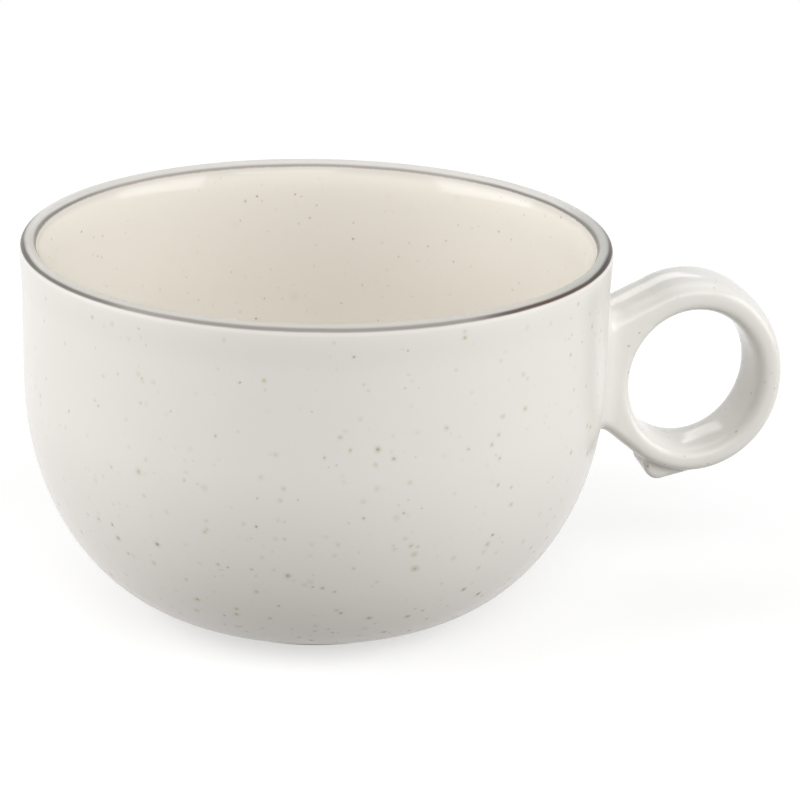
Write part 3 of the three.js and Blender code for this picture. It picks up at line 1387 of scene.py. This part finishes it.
    def build(self) -> None:
        """Make the glazed handle and the clay inside it."""
        half = np.array((
            self.hole_width / 2 + self.strap_thickness,
            self.strap_width / 2,
            self.hole_height / 2 + self.strap_thickness,
        )) + self.margin + self.wall_fillet
        middle = np.array((self.hole[0], 0, self.hole[1]))
        low, high = tuple(middle - half), tuple(middle + half)
        skin = SurfaceNet(self.distance, low, high)
        core = SurfaceNet(self.clay_distance, low, high, self.clay_pitch)
        self.glaze = self._net("handle_glaze_skin", skin)
        self.clay = self._net("handle_clay", core)

    def _net(self, name: str, net: SurfaceNet) -> bpy.types.Object:
        """Mesh one piece of the handle and set it beside the cup.

        Args:
            name: The piece's name.
            net: Its surface, in the handle's own frame.

        Returns:
            The piece.
        """
        points, faces = net.mesh()
        points[:, 0] += self.form.axis_x
        return add_piece(name, points.tolist(), faces.tolist())

    def dress(self, glaze: Glaze, clay: BareClay, slip: BareClay) -> None:
        """Give the glaze, the clay under it and the luting slip their finishes.

        Args:
            glaze: Glaze of the handle.
            clay: Clay of the handle.
            slip: Slip between handle and wall.
        """
        seat(self.glaze, glaze.material(), "handle_glaze")
        seat(self.clay, clay.material(), "handle")
        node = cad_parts["handle_slip"]
        node.data.materials.clear()
        node.data.materials.append(slip.material())
        LOG.info("handle_slip: kept from the construction, under the glaze")


@dataclass(frozen=True)
class Lamp:
    """A soft rectangular studio lamp that looks at the cup."""

    name: str
    bearing: float
    climb: float
    width: float
    height: float
    power: float
    distance: float = 1.0
    aim: Point = (0.0, 0.0, 40 * MM)

    def hang(self) -> None:
        """Add the lamp at its bearing, in degrees from the front to the right, and its climb."""
        bearing, climb = math.radians(self.bearing), math.radians(self.climb)
        level = self.distance * math.cos(climb)
        rise = self.distance * math.sin(climb)
        away = Vector((level * math.sin(bearing), -level * math.cos(bearing), rise))
        light = bpy.data.lights.new(self.name, "AREA")
        light.shape = "RECTANGLE"
        light.size = self.width
        light.size_y = self.height
        light.energy = self.power
        lamp = bpy.data.objects.new(self.name, light)
        lamp.location = Vector(self.aim) + away
        lamp.rotation_mode = "QUATERNION"
        lamp.rotation_quaternion = (-away).to_track_quat("-Z", "Y")
        bpy.context.scene.collection.objects.link(lamp)


@dataclass(frozen=True)
class Studio:
    """A pale floor, a white background and soft lamps."""

    lamps: tuple[Lamp, ...]
    ambient: float = 0.205
    backdrop: float = 1.0
    floor_half: float = 3.0
    floor_drop: float = 0.05 * MM
    floor_colour: Colour = (0.5, 0.5, 0.5)
    floor_glow: float = 0.6
    bounce_colour: Colour = (0.385, 0.37, 0.355)
    fade_start: float = 0.16
    fade_stop: float = 0.5

    def build(self) -> None:
        """Set up the studio."""
        bpy.context.scene.view_settings.view_transform = "Standard"
        self._light_world()
        self._lay_floor()
        for lamp in self.lamps:
            lamp.hang()

    def _light_world(self) -> None:
        """White where the camera looks, and a soft even light on the cup."""
        world = bpy.data.worlds.new("studio")
        world.use_nodes = True
        bpy.context.scene.world = world
        bench = NodeBench(world.node_tree)
        soft, white = (
            bench.node("ShaderNodeBackground", None, {"Color": WHITE, "Strength": strength})
            for strength in (self.ambient, self.backdrop)
        )
        mixed = bench.node("ShaderNodeMixShader", None, {0: bench.seen(), 1: soft, 2: white})
        bench.node("ShaderNodeOutputWorld", None, {"Surface": mixed})

    def _lay_floor(self) -> None:
        """A pale floor that keeps the cup's shadow and fades to white around it."""
        half = self.floor_half
        outline = ((-half, -half), (half, -half), (half, half), (-half, half))
        corners = [(x, y, -self.floor_drop) for x, y in outline]
        floor = add_piece("studio_floor", corners, [(0, 1, 2, 3)])
        material, bench = new_material("pale_floor")
        position = bench.position()
        away = bench.part(position, Axis.X).length_with(bench.part(position, Axis.Y))
        paper = bench.node("ShaderNodeBsdfDiffuse", None, {"Color": self.floor_colour})
        glow, white = (
            bench.node("ShaderNodeEmission", None, {"Color": WHITE, "Strength": strength})
            for strength in (self.floor_glow, self.backdrop)
        )
        lit = bench.node("ShaderNodeAddShader", None, {0: paper, 1: glow})
        far = bench.ease(away, self.fade_start, self.fade_stop)
        shown = bench.node("ShaderNodeMixShader", None, {0: far, 1: lit, 2: white})
        bounce = bench.node("ShaderNodeBsdfDiffuse", None, {"Color": self.bounce_colour})
        mixed = bench.node("ShaderNodeMixShader", None, {0: bench.seen(), 1: bounce, 2: shown})
        bench.node("ShaderNodeOutputMaterial", None, {"Surface": mixed})
        floor.data.materials.append(material)


@dataclass(frozen=True)
class PhotoCamera:
    """A long lens at the photograph's angle; the sensor is as wide as it is high."""

    place: Point = (-100.2 * MM, -509.8 * MM, 222.5 * MM)
    aim: Point = (-1.99 * MM, -2.94 * MM, 37.85 * MM)
    roll: float = 1.3
    lens: float = 135.0
    sensor: float = 36.0
    nearest: float = 0.01
    farthest: float = 20.0

    def set_up(self) -> None:
        """Add the camera and look through it."""
        data = bpy.data.cameras.new("photo_camera")
        data.lens = self.lens
        data.sensor_width = self.sensor
        data.clip_start = self.nearest
        data.clip_end = self.farthest
        camera = bpy.data.objects.new("photo_camera", data)
        camera.location = self.place
        look = (Vector(self.aim) - Vector(self.place)).to_track_quat("-Z", "Y")
        camera.rotation_mode = "QUATERNION"
        camera.rotation_quaternion = look @ Quaternion((0, 0, 1), math.radians(self.roll))
        bpy.context.scene.collection.objects.link(camera)
        bpy.context.scene.camera = camera


OLIVE = (0.20, 0.15, 0.06)
KHAKI = (0.39, 0.33, 0.18)
SLATE = (0.44, 0.43, 0.40)
ASH = (0.70, 0.68, 0.64)
UMBER = (0.26, 0.19, 0.12)
TAN = (0.57, 0.51, 0.35)
SAND = (0.65, 0.59, 0.45)
BLUSH = (0.80, 0.72, 0.66)
ROSE = (0.78, 0.65, 0.56)

# Each family of specks: spacing, core, halo, their two colours, strength, share at foot and lip
OUTER_GLAZE = Glaze(
    name="speckled_glaze",
    colour=(0.815, 0.795, 0.755),
    patch_colour=(0.79, 0.765, 0.725),
    specks=(
        Specks(5.0 * MM, 0.4 * MM, 1.2 * MM, ROSE, BLUSH, 0.7, 0.3, 0.7),
        Specks(3.1 * MM, 0.30 * MM, 0.6 * MM, SLATE, ASH, 0.8, 0.9, 0.4),
        Specks(3.0 * MM, 0.40 * MM, 0.9 * MM, TAN, SAND, 0.75, 0.1, 0.7),
        Specks(2.8 * MM, 0.42 * MM, 1.0 * MM, KHAKI, SAND, 0.95, 0.9, 0.15),
        Specks(3.5 * MM, 0.55 * MM, 1.25 * MM, OLIVE, TAN, 1.0, 1.1, -0.35),
    ),
    roughness=0.24,
)
HANDLE_GLAZE = Glaze(
    name="handle_glaze",
    colour=(0.82, 0.805, 0.765),
    patch_colour=(0.795, 0.775, 0.735),
    specks=(Specks(2.7 * MM, 0.28 * MM, 0.6 * MM, OLIVE, SAND, 0.95, 0.95, 0.9),),
)
# Inside, just below the lip: oxide run, then painted shade that damps the lamps' highlight.
INNER_RUN_AND_SHADE = LipRunAndShade((0.69, 0.658, 0.60))
LINER_GLAZE = Glaze(
    name="cream_glaze",
    colour=(0.845, 0.812, 0.75),
    patch_colour=(0.825, 0.788, 0.72),
    specks=(
        Specks(6.0 * MM, 0.4 * MM, 1.9 * MM, BLUSH, BLUSH, 0.5, 0.5, 0.5),
        Specks(2.1 * MM, 0.24 * MM, 0.55 * MM, UMBER, SAND, 0.85, 0.9, 0.7),
    ),
    run_and_shade=INNER_RUN_AND_SHADE,
)
CLAY = BareClay(
    name="stoneware_clay",
    pale=(0.60, 0.50, 0.36),
    dark=(0.50, 0.40, 0.27),
    grit=(0.25, 0.17, 0.10),
)
SLIP = BareClay(
    name="luting_slip",
    pale=(0.52, 0.42, 0.28),
    dark=(0.44, 0.34, 0.21),
    grit=(0.24, 0.16, 0.09),
)

# Each lamp: bearing and climb in degrees, width and height in metres, power in watts
LAMPS = (
    Lamp("left_softbox", -89, 20, 0.9, 1.0, 9.1),
    Lamp("right_softbox", 64, 16, 0.8, 0.9, 7.1),
    Lamp("front_softbox", 5, 38, 0.8, 0.6, 3.9),
    Lamp("back_softbox", 180, 62, 1.2, 0.5, 2.0),
    Lamp("back_strip", 176, 24, 0.65, 0.09, 0.3),
)


def main() -> None:
    """Build the cup, its finishes and the studio."""
    logging.basicConfig(level=logging.INFO, format="%(message)s")
    PhotoCamera().set_up()
    form = CupForm.from_frame()
    lip = LipOxide(
        name="lip_oxide",
        axis_x=form.axis_x,
        crest_radius=form.crest_radius,
        crest_height=form.height,
        outer_glaze=OUTER_GLAZE.colour,
        inner_glaze=LINER_GLAZE.colour,
        run_and_shade=INNER_RUN_AND_SHADE,
    )
    cup = Cup(form)
    cup.build()
    cup.dress(CLAY, OUTER_GLAZE, LINER_GLAZE, lip)
    handle = RingHandle(form)
    handle.build()
    handle.dress(HANDLE_GLAZE, CLAY, SLIP)
    Studio(LAMPS).build()


if __name__ == "__main__":
    main()
